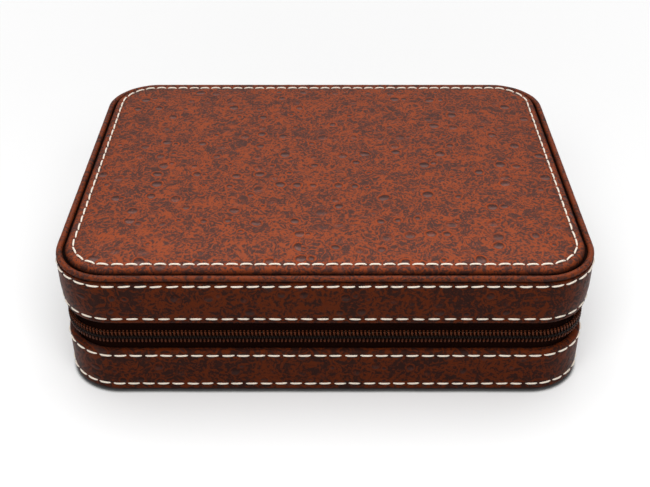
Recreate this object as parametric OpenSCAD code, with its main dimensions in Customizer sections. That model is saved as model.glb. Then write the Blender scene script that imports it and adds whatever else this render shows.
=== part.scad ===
// Zippered travel case for four watches: a leather-covered box in two halves, hinged at
// the back by a leather gusset and closed by a double-slider coil zip round the other sides.
// Millimetres. +Z is up, -Y is the front, and the origin is the centre of the flat underside.

/* [Case] */
// Overall width, over the piping
case_w = 200; // [170:1:240]
// Overall depth, over the piping
case_d = 152; // [130:1:180]
// Overall height
case_h = 57; // [54:1:66]
// Height of the base, up to its rim
base_h = 20; // [18:0.2:23]
// Height of the open band between the two rims, which the zip closes
zip_gap = 13.4; // [11:0.2:14]
// Corner radius of the side walls, seen from above
corner_r = 20.8; // [18:0.2:34]

/* [Wall layers] */
// Thickness of the leather
leather_t = 1; // [0.8:0.1:1.3]
// Thickness of the stiff board in the walls, floor and top
board_t = 1.8; // [1.4:0.1:2.2]
// Thickness of the suede-covered lining
lining_t = 1; // [0.8:0.1:1.2]
// Film of glue between two layers
glue = 0.1; // [0.05:0.05:0.15]
// How far the bottom panel's edge lies in from the side wall
bottom_inset = 2.5; // [1.5:0.5:6]
// Width of the side leather turned in under the floor
turn_in = 9; // [6:1:14]

/* [Lid top] */
// Radius of the piping round the top
piping_r = 1.4; // [1.2:0.1:1.8]
// How far the piping stands proud of the side wall
piping_proud = 0.8; // [0.4:0.1:1.2]
// Thickness of the leather wrapped round the piping cord
piping_wrap = 0.5; // [0.4:0.05:0.6]
// Thickness of the foam under the top panel's border
foam_t = 2.7; // [2:0.1:4]
// How far the padded middle of the top stands above its border
crown = 0.8; // [0.4:0.1:1.4]
// Gap between the piping and the top panel's edge
groove = 0.15; // [0.1:0.05:0.4]
// Thickness of the soft pad under the lid
pad_t = 3.7; // [2:0.1:5]

/* [Stitching] */
// Distance of the top panel's stitching from the side wall's face
top_stitch_inset = 6.2; // [5:0.2:9]
// Distance of the lid's upper stitching below the piping
lid_stitch_drop = 1.2; // [1:0.1:4]
// Distance of the lid's lower stitching above its rim
lid_rim_stitch = 2.6; // [2:0.1:5]
// Distance of the base's upper stitching below its rim
base_rim_stitch = 1.8; // [1.5:0.1:5]
// Distance of the lowest stitching above the wall's bottom edge
foot_stitch = 3.4; // [1.2:0.1:4]
// Width of the thread
thread_w = 0.8; // [0.5:0.1:1.2]
// Thickness of the thread where it lies on the leather
thread_t = 0.4; // [0.3:0.05:0.6]

/* [Zip] */
// Width of one zip tape
tape_w = 15; // [12:0.5:16]
// Thickness of a zip tape
tape_t = 0.6; // [0.4:0.1:0.8]
// Width of one half of the coil
coil_w = 2.5; // [2:0.1:3]
// Thickness of the coil
coil_t = 2; // [1.6:0.1:2.3]
// Running slot between the two halves of the coil
coil_slot = 1.2; // [1:0.1:1.6]
// Distance of the zip's ends from the middle of the back
zip_end = 66; // [50:1:70]
// Length of a metal end stop
stop_l = 2.5; // [2:0.5:4]

/* [Sliders] */
// Length of a slider
slider_l = 13; // [11:0.5:15]
// Width of a slider
slider_w = 8.8; // [8.4:0.2:10]
// Thickness of a slider's plates
plate_t = 0.9; // [0.7:0.1:1.1]
// Play between a slider and the zip
play = 0.15; // [0.1:0.05:0.25]
// Place of the rear slider, forward of the middle of the case when negative
slider_rear_y = 24; // [20:1:28]
// Gap between the two sliders when the zip is closed
slider_gap = 1; // [0.5:0.5:3]
// Length of a slider's bridge
bridge_l = 8; // [7:0.5:10]
// Width of a slider's bridge
bridge_w = 2.2; // [1.8:0.1:2.6]
// Length of a pull, from its pin
pull_l = 26; // [20:1:32]
// Width of a pull
pull_w = 8; // [7:0.5:10]
// Thickness of a pull
pull_t = 1.2; // [1:0.1:1.4]
// Radius of the pin that a pull turns on
pin_r = 0.7; // [0.6:0.05:0.8]
// Radius of the hole in a pull
pull_hole_r = 1.4; // [1:0.1:2]

/* [Hinge] */
// Gap between the leather gusset that hinges the lid and each end of the zip
gusset_gap = 0.5; // [0.3:0.1:3]
// Height of each of the gusset's edges held inside a wall
gusset_hold = 10; // [6:0.5:12]
// Thickness of the cloth strip inside the hinge
hinge_cloth_t = 0.4; // [0.3:0.05:0.5]
// Height of each of the cloth strip's edges glued to a lining
hinge_cloth_hold = 5; // [3:0.5:8]

/* [Tray and pillows] */
// Thickness of the tray's frame
frame_t = 2; // [1.5:0.1:3]
// Height of the tray's frame above its floor
frame_h = 29; // [24:0.5:30]
// Clearance between the tray's frame and the linings
frame_fit = 0.8; // [0.6:0.1:1.2]
// Thickness of the dividers
divider_t = 2.4; // [1.6:0.1:4]
// Clearance of the dividers in the frame and in each other
divider_fit = 0.15; // [0.1:0.05:0.3]
// Length of a pillow, along the watch strap
pillow_l = 74; // [60:1:80]
// Width of a pillow
pillow_w = 56; // [44:1:58]
// Thickness of a pillow
pillow_t = 30; // [26:0.5:33]
// Thickness of a pillow's suede cover
cover_t = 1.2; // [0.8:0.1:2]

/* [Hidden] */
$fn = 96;
eps = 0.01;
past = 1; // how far a cutting solid runs past what it cuts

wall_w = case_w - 2 * piping_proud;
wall_d = case_d - 2 * piping_proud;

// Depths of the wall's layers, inwards from its outer face
u_board = leather_t + glue;
u_tape = u_board + board_t + glue;
u_lining = u_tape + tape_t + glue;
u_inside = u_lining + lining_t;
u_frame = u_inside + frame_fit;
u_bay = u_frame + frame_t;
u_coil = u_tape - glue - coil_t;
u_piping = piping_r - piping_proud;
u_panel = u_piping + piping_r + groove;

// Levels, from the underside up to the base's rim
z_wall = leather_t * 0.8;
z_floor_board = z_wall + leather_t + glue;
z_floor_lining = z_floor_board + board_t + glue;
z_floor = z_floor_lining + lining_t;
z_frame = z_floor + glue;
z_frame_top = z_frame + frame_h;

// Levels, from the lid's rim up to the top
z_lid = base_h + zip_gap;
z_zip = base_h + zip_gap / 2;
z_border = case_h - crown;
z_foam = z_border - leather_t - foam_t;
z_top_board = z_foam - glue - board_t;
z_ceiling = z_top_board - glue - lining_t;
z_pad = z_ceiling - glue - pad_t;
z_piping = z_foam + piping_r;

// The lid turns about a line just behind the piping, at half height, so that it lies flat when open
hinge_play = 0.15;
hinge_y = case_d / 2 + hinge_play;
hinge_z = case_h / 2;

gusset_w = 2 * (zip_end - gusset_gap);

bay_w = wall_w / 2 - u_bay - divider_t / 2;
bay_d = wall_d / 2 - u_bay - divider_t / 2;
pillow_x = divider_t / 2 + bay_w / 2;
pillow_y = divider_t / 2 + bay_d / 2;
slider_front_y = slider_rear_y - slider_l - slider_gap;

leather_brown = "#6b3420";
thread_cream = "#f0e4cf";
board_grey = "#8d8577";
suede_tan = "#cbb391";
foam_white = "#e9e4d8";
zip_brown = "#2c1711";
metal_dark = "#4a4038";

// ---- Shapes that repeat ----

module rounded_rect(w, d, r) {
  square([w - 2 * r, d], center = true);
  square([w, d - 2 * r], center = true);
  for (x = [-1, 1], y = [-1, 1])
    translate([x * (w / 2 - r), y * (d / 2 - r)]) circle(r);
}

// The case's plan, u in from the outer face of its side wall
module outline(u) {
  rounded_rect(wall_w - 2 * u, wall_d - 2 * u, corner_r - u);
}

module plate(u, z0, z1) {
  translate([0, 0, z0]) linear_extrude(z1 - z0) outline(u);
}

// A layer of the wall between the depths u0 and u1
module band(u0, u1, z0, z1) {
  translate([0, 0, z0]) linear_extrude(z1 - z0) difference() {
    outline(u0);
    outline(u1);
  }
}

// Sweeps a section round the plan. The section's x is measured outwards from the depth u.
module around(u) {
  r = corner_r - u;
  half = [wall_w / 2 - corner_r, wall_d / 2 - corner_r];
  for (i = [0:3]) {
    along = i % 2 == 0 ? half[1] : half[0];
    out = i % 2 == 0 ? half[0] : half[1];
    rotate(90 * i) {
      translate([out, along, 0]) rotate_extrude(angle = 90) translate([r, 0]) children();
      translate([out + r, along, 0]) rotate([90, 0, 0]) linear_extrude(2 * along) children();
    }
  }
}

// Keeps what lies on the zip's side of its two ends
module zip_run(end = zip_end) {
  difference() {
    children();
    translate([-end, 0, -past]) cube([2 * end, case_d, case_h + 2 * past]);
  }
}

// ---- Base ----

module base_bottom_leather() {
  color(leather_brown) plate(bottom_inset, 0, z_wall);
}

module base_side_leather() {
  color(leather_brown) {
    band(0, leather_t, z_wall, base_h);
    band(leather_t / 2, turn_in, z_wall, z_wall + leather_t);
    band(leather_t / 2, u_tape - glue, base_h - leather_t, base_h);
  }
}

module base_floor_board() {
  color(board_grey) plate(u_tape, z_floor_board, z_floor_board + board_t);
}

module base_wall_board() {
  color(board_grey) band(u_board, u_board + board_t, z_floor_board, base_h - leather_t - glue);
}

module base_lining() {
  color(suede_tan) difference() {
    plate(u_lining, z_floor_lining, base_h);
    plate(u_inside, z_floor, base_h + past);
  }
}

module tray_frame() {
  color(suede_tan) band(u_frame, u_bay, z_frame, z_frame_top);
}

// A divider, standing on the tray's floor, with a slot that halves it over the other one
module divider(l, slot_z) {
  slot = divider_t + 2 * divider_fit;
  difference() {
    translate([-l / 2, -divider_t / 2, z_frame]) cube([l, divider_t, frame_h]);
    translate([-slot / 2, -divider_t, slot_z]) cube([slot, 2 * divider_t, frame_h / 2 + past]);
  }
}

module divider_long() {
  color(suede_tan) divider(wall_w - 2 * (u_bay + divider_fit), z_frame - past);
}

module divider_cross() {
  color(suede_tan) rotate(90) divider(
    wall_d - 2 * (u_bay + divider_fit),
    z_frame + frame_h / 2 - divider_fit
  );
}

// ---- Hinge ----

module hinge_gusset() {
  color(leather_brown)
    translate([-gusset_w / 2, wall_d / 2 - u_tape - tape_t, base_h - gusset_hold])
      cube([gusset_w, tape_t, zip_gap + 2 * gusset_hold]);
}

module hinge_lining() {
  color(suede_tan)
    translate([-gusset_w / 2, wall_d / 2 - u_inside - glue - hinge_cloth_t, base_h - hinge_cloth_hold])
      cube([gusset_w, hinge_cloth_t, zip_gap + 2 * hinge_cloth_hold]);
}

// ---- Lid ----

module lid_top_leather() {
  color(leather_brown) {
    band(u_panel, u_panel + leather_t, z_foam, z_border);
    plate(u_panel + leather_t / 2, z_border - leather_t, z_border);
    plate(top_stitch_inset + thread_w, z_border - leather_t, case_h);
  }
}

module lid_top_foam() {
  color(foam_white) plate(u_panel + leather_t + glue, z_foam, z_border - leather_t - glue);
}

module lid_top_board() {
  color(board_grey) plate(u_board, z_top_board, z_top_board + board_t);
}

module lid_side_leather() {
  color(leather_brown) {
    band(0, leather_t, z_lid, z_foam - glue);
    band(leather_t / 2, u_tape - glue, z_lid, z_lid + leather_t);
  }
}

module lid_wall_board() {
  color(board_grey) band(u_board, u_board + board_t, z_lid + leather_t + glue, z_top_board - glue);
}

// The leather wrapped round the piping cord, open at the seam on its inner side
module piping_section() {
  difference() {
    circle(piping_r);
    circle(piping_r - piping_wrap);
    translate([-piping_r - past, -piping_wrap / 2]) square([piping_r + past, piping_wrap]);
  }
}

module lid_piping_cover() {
  color(leather_brown) translate([0, 0, z_piping]) around(u_piping) piping_section();
}

module lid_piping_cord() {
  color(foam_white) translate([0, 0, z_piping]) around(u_piping) circle(piping_r - piping_wrap - glue);
}

module lid_lining() {
  color(suede_tan) difference() {
    plate(u_lining, z_lid, z_ceiling + lining_t);
    plate(u_inside, z_lid - past, z_ceiling);
  }
}

module lid_pad() {
  color(suede_tan) plate(u_bay, z_pad, z_pad + pad_t);
}

// ---- Zip ----

module zip_tape(z0) {
  color(zip_brown) zip_run() band(u_tape, u_tape + tape_t, z0, z0 + tape_w);
}

module zip_tape_lower() {
  zip_tape(z_zip - coil_slot / 2 - tape_w);
}

module zip_tape_upper() {
  zip_tape(z_zip + coil_slot / 2);
}

// Half of the coil, ending at the stops
module zip_coil(z0) {
  color(zip_brown) zip_run(zip_end + 2 * stop_l) band(u_coil, u_coil + coil_t, z0, z0 + coil_w);
}

module zip_coil_lower() {
  zip_coil(z_zip - coil_slot / 2 - coil_w);
}

module zip_coil_upper() {
  zip_coil(z_zip + coil_slot / 2);
}

module zip_stops(z0) {
  color(metal_dark)
    for (side = [-1, 1])
      translate([side * (zip_end + 1.5 * stop_l - glue) - stop_l / 2, wall_d / 2 - u_coil - coil_t, z0])
        cube([stop_l, coil_t, coil_w]);
}

module zip_stops_lower() {
  zip_stops(z_zip - coil_slot / 2 - coil_w);
}

module zip_stops_upper() {
  zip_stops(z_zip + coil_slot / 2);
}

// ---- Stitching: each row of thread as one bead on the leather ----

module wall_stitching(z) {
  seat = glue / 2;
  color(thread_cream) band(-seat - thread_t, -seat, z - thread_w / 2, z + thread_w / 2);
}

module stitching_base_foot() {
  wall_stitching(z_wall + foot_stitch);
}

module stitching_base_rim() {
  wall_stitching(base_h - base_rim_stitch);
}

module stitching_lid_rim() {
  wall_stitching(z_lid + lid_rim_stitch);
}

module stitching_lid_piping() {
  wall_stitching(z_foam - lid_stitch_drop);
}

module stitching_lid_top() {
  seat = glue / 2;
  color(thread_cream)
    band(top_stitch_inset - thread_w / 2, top_stitch_inset + thread_w / 2,
      z_border + seat, z_border + seat + thread_t);
}

// ---- Sliders: x is outwards from the side wall's face, y along the zip, z across it ----

// The pull's pin lies this far out from the wall's face
pin_x = plate_t + play - u_coil + pin_r + 0.4;

module slider_plate(x) {
  translate([x, 0, 0]) rotate([0, 90, 0]) linear_extrude(plate_t) rounded_rect(slider_w, slider_l, 2);
}

// The flange runs below the coil only, so that the lid's half of the zip lifts out between the plates.
// head is -1 for a slider whose wide end faces the front, and 1 for one that faces the back
module slider(head) {
  outer = play - u_coil;
  inner = -u_tape - tape_t - play - plate_t;
  neck_w = coil_slot - 2 * play;
  neck_l = slider_l / 4;
  flange_z = coil_slot / 2 + coil_w + play;
  flange_l = slider_l - 4;
  top = pin_x + pin_r + 0.2;
  window = bridge_l - 2 * plate_t;
  color(metal_dark) {
    slider_plate(outer);
    slider_plate(inner);
    translate([inner + plate_t / 2, head * (slider_l - neck_l) / 2 - neck_l / 2, -neck_w / 2])
      cube([outer - inner, neck_l, neck_w]);
    translate([outer + play - coil_t, -flange_l / 2, -slider_w / 2])
      cube([coil_t - play + plate_t / 2, flange_l, slider_w / 2 - flange_z]);
    difference() {
      translate([outer + plate_t / 2, -bridge_l / 2, -bridge_w / 2])
        cube([top + plate_t - outer - plate_t / 2, bridge_l, bridge_w]);
      translate([outer + plate_t, -window / 2, -bridge_w])
        cube([top - outer - plate_t, window, 2 * bridge_w]);
    }
  }
}

// A pull lying towards +y from its pin
module pull() {
  arm = 1.3;
  arm_z = bridge_w / 2 + 0.4;
  neck = bridge_l / 2 + 1;
  color(metal_dark) {
    cylinder(h = 2 * (arm_z + arm), r = pin_r, center = true);
    for (side = [-1, 1])
      translate([-pull_t / 2, 0, side * (arm_z + arm / 2) - arm / 2]) cube([pull_t, neck + 2, arm]);
    rotate([0, 90, 0]) translate([0, 0, -pull_t / 2]) linear_extrude(pull_t) difference() {
      translate([0, (neck + pull_l) / 2]) rounded_rect(pull_w, pull_l - neck, 2.5);
      translate([0, pull_l - 2 * pull_hole_r - 1]) circle(pull_hole_r);
    }
  }
}

module slider_front() {
  translate([wall_w / 2, slider_front_y, z_zip]) slider(1);
}

module slider_rear() {
  translate([wall_w / 2, slider_rear_y, z_zip]) slider(-1);
}

module pull_front() {
  translate([wall_w / 2 + pin_x, slider_front_y, z_zip]) mirror([0, 1, 0]) pull();
}

module pull_rear() {
  translate([wall_w / 2 + pin_x, slider_rear_y, z_zip]) pull();
}

// ---- Pillows ----

module oval(l, t) {
  square([l - t, t], center = true);
  for (x = [-1, 1]) translate([x * (l - t) / 2, 0]) circle(t / 2);
}

module at_pillow(x, y) {
  translate([x * pillow_x, y * pillow_y, z_floor + glue + pillow_t / 2]) rotate([90, 0, 0]) children();
}

// The foam inside a pillow
module pillow_core(x, y) {
  shrink = 2 * (cover_t + glue);
  color(foam_white) at_pillow(x, y)
    linear_extrude(pillow_w - shrink, center = true) oval(pillow_l - shrink, pillow_t - shrink);
}

// A pillow's sleeve, with a panel sewn into each end
module pillow_cover(x, y) {
  color(suede_tan) at_pillow(x, y) {
    linear_extrude(pillow_w, center = true) difference() {
      oval(pillow_l, pillow_t);
      oval(pillow_l - 2 * cover_t, pillow_t - 2 * cover_t);
    }
    for (end = [-1, 1])
      translate([0, 0, end * (pillow_w - cover_t) / 2])
        linear_extrude(cover_t, center = true) oval(pillow_l - cover_t, pillow_t - cover_t);
  }
}

base_bottom_leather();
base_side_leather();
base_floor_board();
base_wall_board();
base_lining();
tray_frame();
divider_long();
divider_cross();
zip_tape_lower();
zip_coil_lower();
zip_stops_lower();
stitching_base_rim();
stitching_base_foot();
hinge_gusset();
hinge_lining();
lid_top_leather();
lid_top_foam();
lid_top_board();
lid_side_leather();
lid_wall_board();
lid_piping_cover();
lid_piping_cord();
lid_lining();
lid_pad();
zip_tape_upper();
zip_coil_upper();
zip_stops_upper();
stitching_lid_top();
stitching_lid_piping();
stitching_lid_rim();
slider_front();
slider_rear();
pull_front();
pull_rear();
pillow_core(-1, -1);  // pillow_core_front_left
pillow_core(1, -1);  // pillow_core_front_right
pillow_core(-1, 1);  // pillow_core_rear_left
pillow_core(1, 1);  // pillow_core_rear_right
pillow_cover(-1, -1);  // pillow_cover_front_left
pillow_cover(1, -1);  // pillow_cover_front_right
pillow_cover(-1, 1);  // pillow_cover_rear_left
pillow_cover(1, 1);  // pillow_cover_rear_right
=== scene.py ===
# %% [markdown]
# # A zippered travel case for watches
# The case is two shallow leather-covered trays. A leather strip hinges them at the back, and a
# coil zip closes them round the other three sides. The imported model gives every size, so this
# script starts from its boxes and only adds what leather, thread and cloth look like.
# Everything is in metres, with +Z up and the front facing -Y.

# %% Load the frame
import math
import random

import bmesh
import bpy
from mathutils import Matrix, Vector, noise


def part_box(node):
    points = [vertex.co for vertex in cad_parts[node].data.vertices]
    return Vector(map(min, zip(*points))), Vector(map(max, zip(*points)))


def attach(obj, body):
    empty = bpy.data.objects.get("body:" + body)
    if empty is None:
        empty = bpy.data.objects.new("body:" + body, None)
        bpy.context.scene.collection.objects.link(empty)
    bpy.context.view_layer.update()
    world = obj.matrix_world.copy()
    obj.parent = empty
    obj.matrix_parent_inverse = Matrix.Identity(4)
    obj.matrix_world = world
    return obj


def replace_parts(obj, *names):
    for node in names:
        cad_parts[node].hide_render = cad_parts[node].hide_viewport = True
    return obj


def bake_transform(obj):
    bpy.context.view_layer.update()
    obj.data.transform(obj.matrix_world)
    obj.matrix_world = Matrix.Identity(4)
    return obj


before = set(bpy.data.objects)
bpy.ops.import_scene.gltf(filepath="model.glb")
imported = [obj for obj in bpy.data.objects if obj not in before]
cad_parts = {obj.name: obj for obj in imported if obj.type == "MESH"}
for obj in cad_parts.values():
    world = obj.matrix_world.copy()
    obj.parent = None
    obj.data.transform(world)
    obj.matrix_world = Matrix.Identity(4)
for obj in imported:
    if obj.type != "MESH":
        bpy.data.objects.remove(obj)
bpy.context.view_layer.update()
mm = 0.001
quarter = math.pi / 2

# %% [markdown]
# The camera stands in front of the case and looks down on it. A camera on a rig that turns would
# do as well, but a fixed one is simpler. Its distance decides how much the far edge of the lid
# narrows, so it comes first: every later choice is judged through it.

# %% Camera
def new_object(name, data):
    """An object in the scene."""
    made = bpy.data.objects.new(name, data)
    bpy.context.scene.collection.objects.link(made)
    return made


camera_distance = 362 * mm
camera_height = 276.9 * mm
camera_pitch = math.radians(57.1)
lens_length = 56.5
lens_shift = -0.08
camera = new_object("camera", bpy.data.cameras.new("camera"))
camera.data.lens = lens_length
camera.data.shift_y = lens_shift
camera.data.sensor_width = 36
camera.location = (0, -camera_distance, camera_height)
camera.rotation_euler = (camera_pitch, 0, 0)
bpy.context.scene.camera = camera
bpy.context.scene.view_settings.view_transform = "Standard"
print(f"camera: {lens_length} mm lens, {camera_height / mm:.0f} mm up")

# %% [markdown]
# ## The outline that everything follows
# Seen from above, walls, piping, stitching and zip all run along the same rounded rectangle, only
# at different depths. One walk along that outline therefore places every stitch and tooth, and one
# sweep of a profile along it makes every band.

# %% Sizes read from the frame
base_low, base_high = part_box("base_side_leather")
lid_low, lid_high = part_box("lid_side_leather")
half_w, half_d = base_high.x, base_high.y
corner_r = 20.8 * mm
straight = (half_w - corner_r, half_d - corner_r)
base_rim, lid_rim, lid_shoulder = base_high.z, lid_low.z, lid_high.z
leather_t = 1 * mm
wall_t = 2.9 * mm
zip_z = (base_rim + lid_rim) / 2
print(f"outline {2 * half_w / mm:.1f} by {2 * half_d / mm:.1f} mm,",
      f"rims at {base_rim / mm:.1f} and {lid_rim / mm:.1f}")

# %% Walk along the outline
def outline_length(depth):
    """How long the outline is, that far inside the wall's face."""
    return 4 * sum(straight) + 2 * math.pi * (corner_r - depth)


def outward(facing):
    """The level direction of an angle."""
    return Vector((math.cos(facing), math.sin(facing), 0))


def on_outline(depth, distance):
    """A point on the outline and the angle it faces. Distance 0 is the middle of the front."""
    radius = corner_r - depth
    distance = (distance + straight[0]) % outline_length(depth)
    for side in range(4):
        run, offset = 2 * straight[side % 2], straight[(side + 1) % 2]
        turn = Matrix.Rotation(side * quarter, 3, "Z")
        if distance <= run:
            return turn @ Vector((distance - run / 2, -offset - radius, 0)), (side - 1) * quarter
        distance -= run
        if distance <= quarter * radius:
            angle = distance / radius - quarter
            centre = Vector((run / 2, -offset, 0))
            return turn @ (centre + outward(angle) * radius), angle + side * quarter
        distance -= quarter * radius


def unroll(point, depth=0.0):
    """The other way: how far along the outline a point is, how deep it is, and the angle it faces."""
    radius = corner_r - depth
    over = Vector((max(abs(point.x) - straight[0], 0), max(abs(point.y) - straight[1], 0)))
    if over.x > 0 and over.y > 0:
        facing = math.atan2(math.copysign(over.y, point.y), math.copysign(over.x, point.x))
        inside = corner_r - over.length
    elif over.y > over.x or (over.length == 0 and half_d - abs(point.y) < half_w - abs(point.x)):
        facing = math.copysign(quarter, point.y)
        inside = half_d - abs(point.y)
    else:
        facing = 0.0 if point.x > 0 else math.pi
        inside = half_w - abs(point.x)
    # A side counts together with the corner after it, as on the way there.
    side = round((facing + quarter) / quarter - 0.5 + 1e-9) % 4
    turned = Matrix.Rotation(-side * quarter, 3, "Z") @ Vector((point.x, point.y, 0))
    along = sum(2 * straight[s % 2] + quarter * radius for s in range(side))
    run = straight[side % 2]
    if turned.x > run and -turned.y > straight[(side + 1) % 2]:
        angle = math.atan2(turned.y + straight[(side + 1) % 2], turned.x - run) + quarter
        return along + 2 * run + angle * radius - straight[0], inside, facing
    return along + turned.x + run - straight[0], inside, facing


test_point, test_facing = on_outline(0, 0.2)
print("walk back:", [round(v, 4) for v in unroll(test_point)], round(test_facing, 4))

# %% [markdown]
# A band is a profile carried round the outline. A bevelled curve could draw it too, but its corners
# pinch. The spin operator does both kinds of step: with an angle it turns the profile round a corner,
# and with an offset and no angle it pushes it straight.

# %% Sweep a profile round the case
corner_steps = 30
print("steps at each corner:", corner_steps)


def sweep(bm, profile, closed=True, step=1.3 * mm):
    """Carries a profile of (outward, height) points once round the outline."""
    points = [bm.verts.new((-straight[0], -half_d - out, height)) for out, height in profile]
    followers = points[1:] + points[:1] if closed else points[1:]
    ring = points + [bm.edges.new(pair) for pair in zip(points, followers)]
    for side in range(4):
        turn = Matrix.Rotation(side * quarter, 3, "Z")
        run, offset = 2 * straight[side % 2], straight[(side + 1) % 2]
        steps = round(run / step)
        push = turn @ Vector((run / steps, 0, 0))
        ring = bmesh.ops.spin(bm, geom=ring, cent=(0, 0, 0), axis=(0, 0, 1), angle=0,
                              dvec=push, steps=steps)["geom_last"]
        centre = turn @ Vector((run / 2, -offset, 0))
        ring = bmesh.ops.spin(bm, geom=ring, cent=centre, axis=(0, 0, 1), angle=quarter,
                              steps=corner_steps)["geom_last"]
    bmesh.ops.remove_doubles(bm, verts=bm.verts, dist=0.002 * mm)
    bmesh.ops.recalc_face_normals(bm, faces=bm.faces)


def arc(centre, radius, start, end, steps=5):
    """Points of a profile along an arc, angles in degrees."""
    angles = [math.radians(start + (end - start) * k / steps) for k in range(steps + 1)]
    return [(centre[0] + radius * math.cos(a), centre[1] + radius * math.sin(a)) for a in angles]


def rise(start, end, steps):
    """Heights evenly spaced from start to end, without the first."""
    return [start + (end - start) * k / steps for k in range(1, steps + 1)]


def as_mesh(bm, name):
    """Turns a bmesh into a mesh."""
    mesh = bpy.data.meshes.new(name)
    bm.to_mesh(mesh)
    bm.free()
    return mesh


def make_piece(bm, name, body, material, sharp=60):
    """Turns a bmesh into a smooth piece that rides on a body."""
    mesh = as_mesh(bm, name)
    mesh.materials.append(material)
    mesh.shade_smooth()
    mesh.set_sharp_from_angle(angle=math.radians(sharp))
    piece = new_object(name, mesh)
    if body:
        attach(piece, body)
    print(f"{name}: {len(mesh.polygons)} faces")
    return piece


def keep_shape(bm, name):
    """A mesh with its faces turned outwards, to be set down many times."""
    bmesh.ops.recalc_face_normals(bm, faces=bm.faces)
    return as_mesh(bm, name)


# %% [markdown]
# ## Materials
# Every finish is a tree of shader nodes. The trees could be drawn by hand in the editor, but code
# repeats exactly. A few short helpers keep them readable: one adds a node with its values and links,
# three do arithmetic, and one turns a range of values into a soft mask.

# %% Node helpers
def add(tree, kind, inputs=None, **settings):
    """Adds a node. An input is a value, or a socket to link from."""
    made = tree.nodes.new(kind)
    for key, value in settings.items():
        setattr(made, key, value)
    for key, value in (inputs or {}).items():
        if isinstance(value, bpy.types.NodeSocket):
            tree.links.new(value, made.inputs[key])
        else:
            made.inputs[key].default_value = value
    return made


def calc(tree, operation, *values):
    """One step of arithmetic, and its result."""
    return add(tree, "ShaderNodeMath", dict(enumerate(values)), operation=operation).outputs[0]


def add_up(tree, *parts):
    """The sum of (value, share) parts, each value times its share."""
    total = 0.0
    for value, share in parts:
        total = calc(tree, "MULTIPLY_ADD", value, share, total)
    return total


def calc_vector(tree, operation, first, second):
    """One step of vector arithmetic. SCALE takes a number as its second value."""
    key = "Scale" if operation == "SCALE" else 1
    return add(tree, "ShaderNodeVectorMath", {0: first, key: second}, operation=operation).outputs[0]


def soft_step(tree, value, low, high, out_low=0.0, out_high=1.0):
    """Goes smoothly from out_low to out_high as the value goes from low to high."""
    limits = {"From Min": low, "From Max": high, "To Min": out_low, "To Max": out_high}
    made = add(tree, "ShaderNodeMapRange", {"Value": value, **limits}, interpolation_type="SMOOTHSTEP")
    return made.outputs["Result"]


def blend_colours(tree, share, first, second, mode="MIX"):
    """Mixes two colours, given as (red, green, blue) or as sockets."""
    made = add(tree, "ShaderNodeMix", data_type="RGBA", blend_type=mode)
    for socket, value in ((made.inputs[0], share), (made.inputs[6], first), (made.inputs[7], second)):
        if isinstance(value, bpy.types.NodeSocket):
            tree.links.new(value, socket)
        else:
            socket.default_value = (*value, 1) if isinstance(value, tuple) else value
    return made.outputs[2]


def darken(tree, colour, factor):
    """Multiplies a colour by a number."""
    grey = add(tree, "ShaderNodeCombineColor", {channel: factor for channel in range(3)}).outputs[0]
    return blend_colours(tree, 1.0, colour, grey, "MULTIPLY")


def object_place(tree):
    """Where a surface point is on the case, in metres."""
    return add(tree, "ShaderNodeTexCoord").outputs["Object"]


def noise_at(tree, place, size, detail=3.0, rough=0.55, distortion=0.0):
    """Fractal noise with features of about that size, in metres."""
    return add(tree, "ShaderNodeTexNoise", {"Vector": place, "Scale": 1 / size, "Detail": detail,
               "Roughness": rough, "Distortion": distortion}).outputs["Fac"]


def new_material(name, **values):
    """A material with a Principled BSDF, its node tree and the shader."""
    material = bpy.data.materials.new(name)
    material.use_nodes = True
    shader = material.node_tree.nodes["Principled BSDF"]
    for key, value in values.items():
        shader.inputs[key.replace("_", " ")].default_value = value
    return material, material.node_tree, shader


def dress(tree, shader, colour, height, depth):
    """Feeds a colour and the normal of a relief into the shader. depth is in metres."""
    tree.links.new(colour, shader.inputs["Base Color"])
    made = add(tree, "ShaderNodeBump", {"Height": height, "Distance": depth, "Strength": 1.0})
    tree.links.new(made.outputs["Normal"], shader.inputs["Normal"])


print("node helpers are ready")


# %% [markdown]
# The hide is an ostrich-grained leather, dyed in two goes: a warm orange brown underneath, and a
# dark purplish brown rubbed over it, which stays in the valleys and leaves veins of the first
# colour. Small raised quill marks are scattered over it. A painted picture could be wrapped on it,
# but a pattern built from noise has no seams at the corners and can be resized. It is a group, because
# the top, the walls, the underside and the piping use it with different values.

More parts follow.
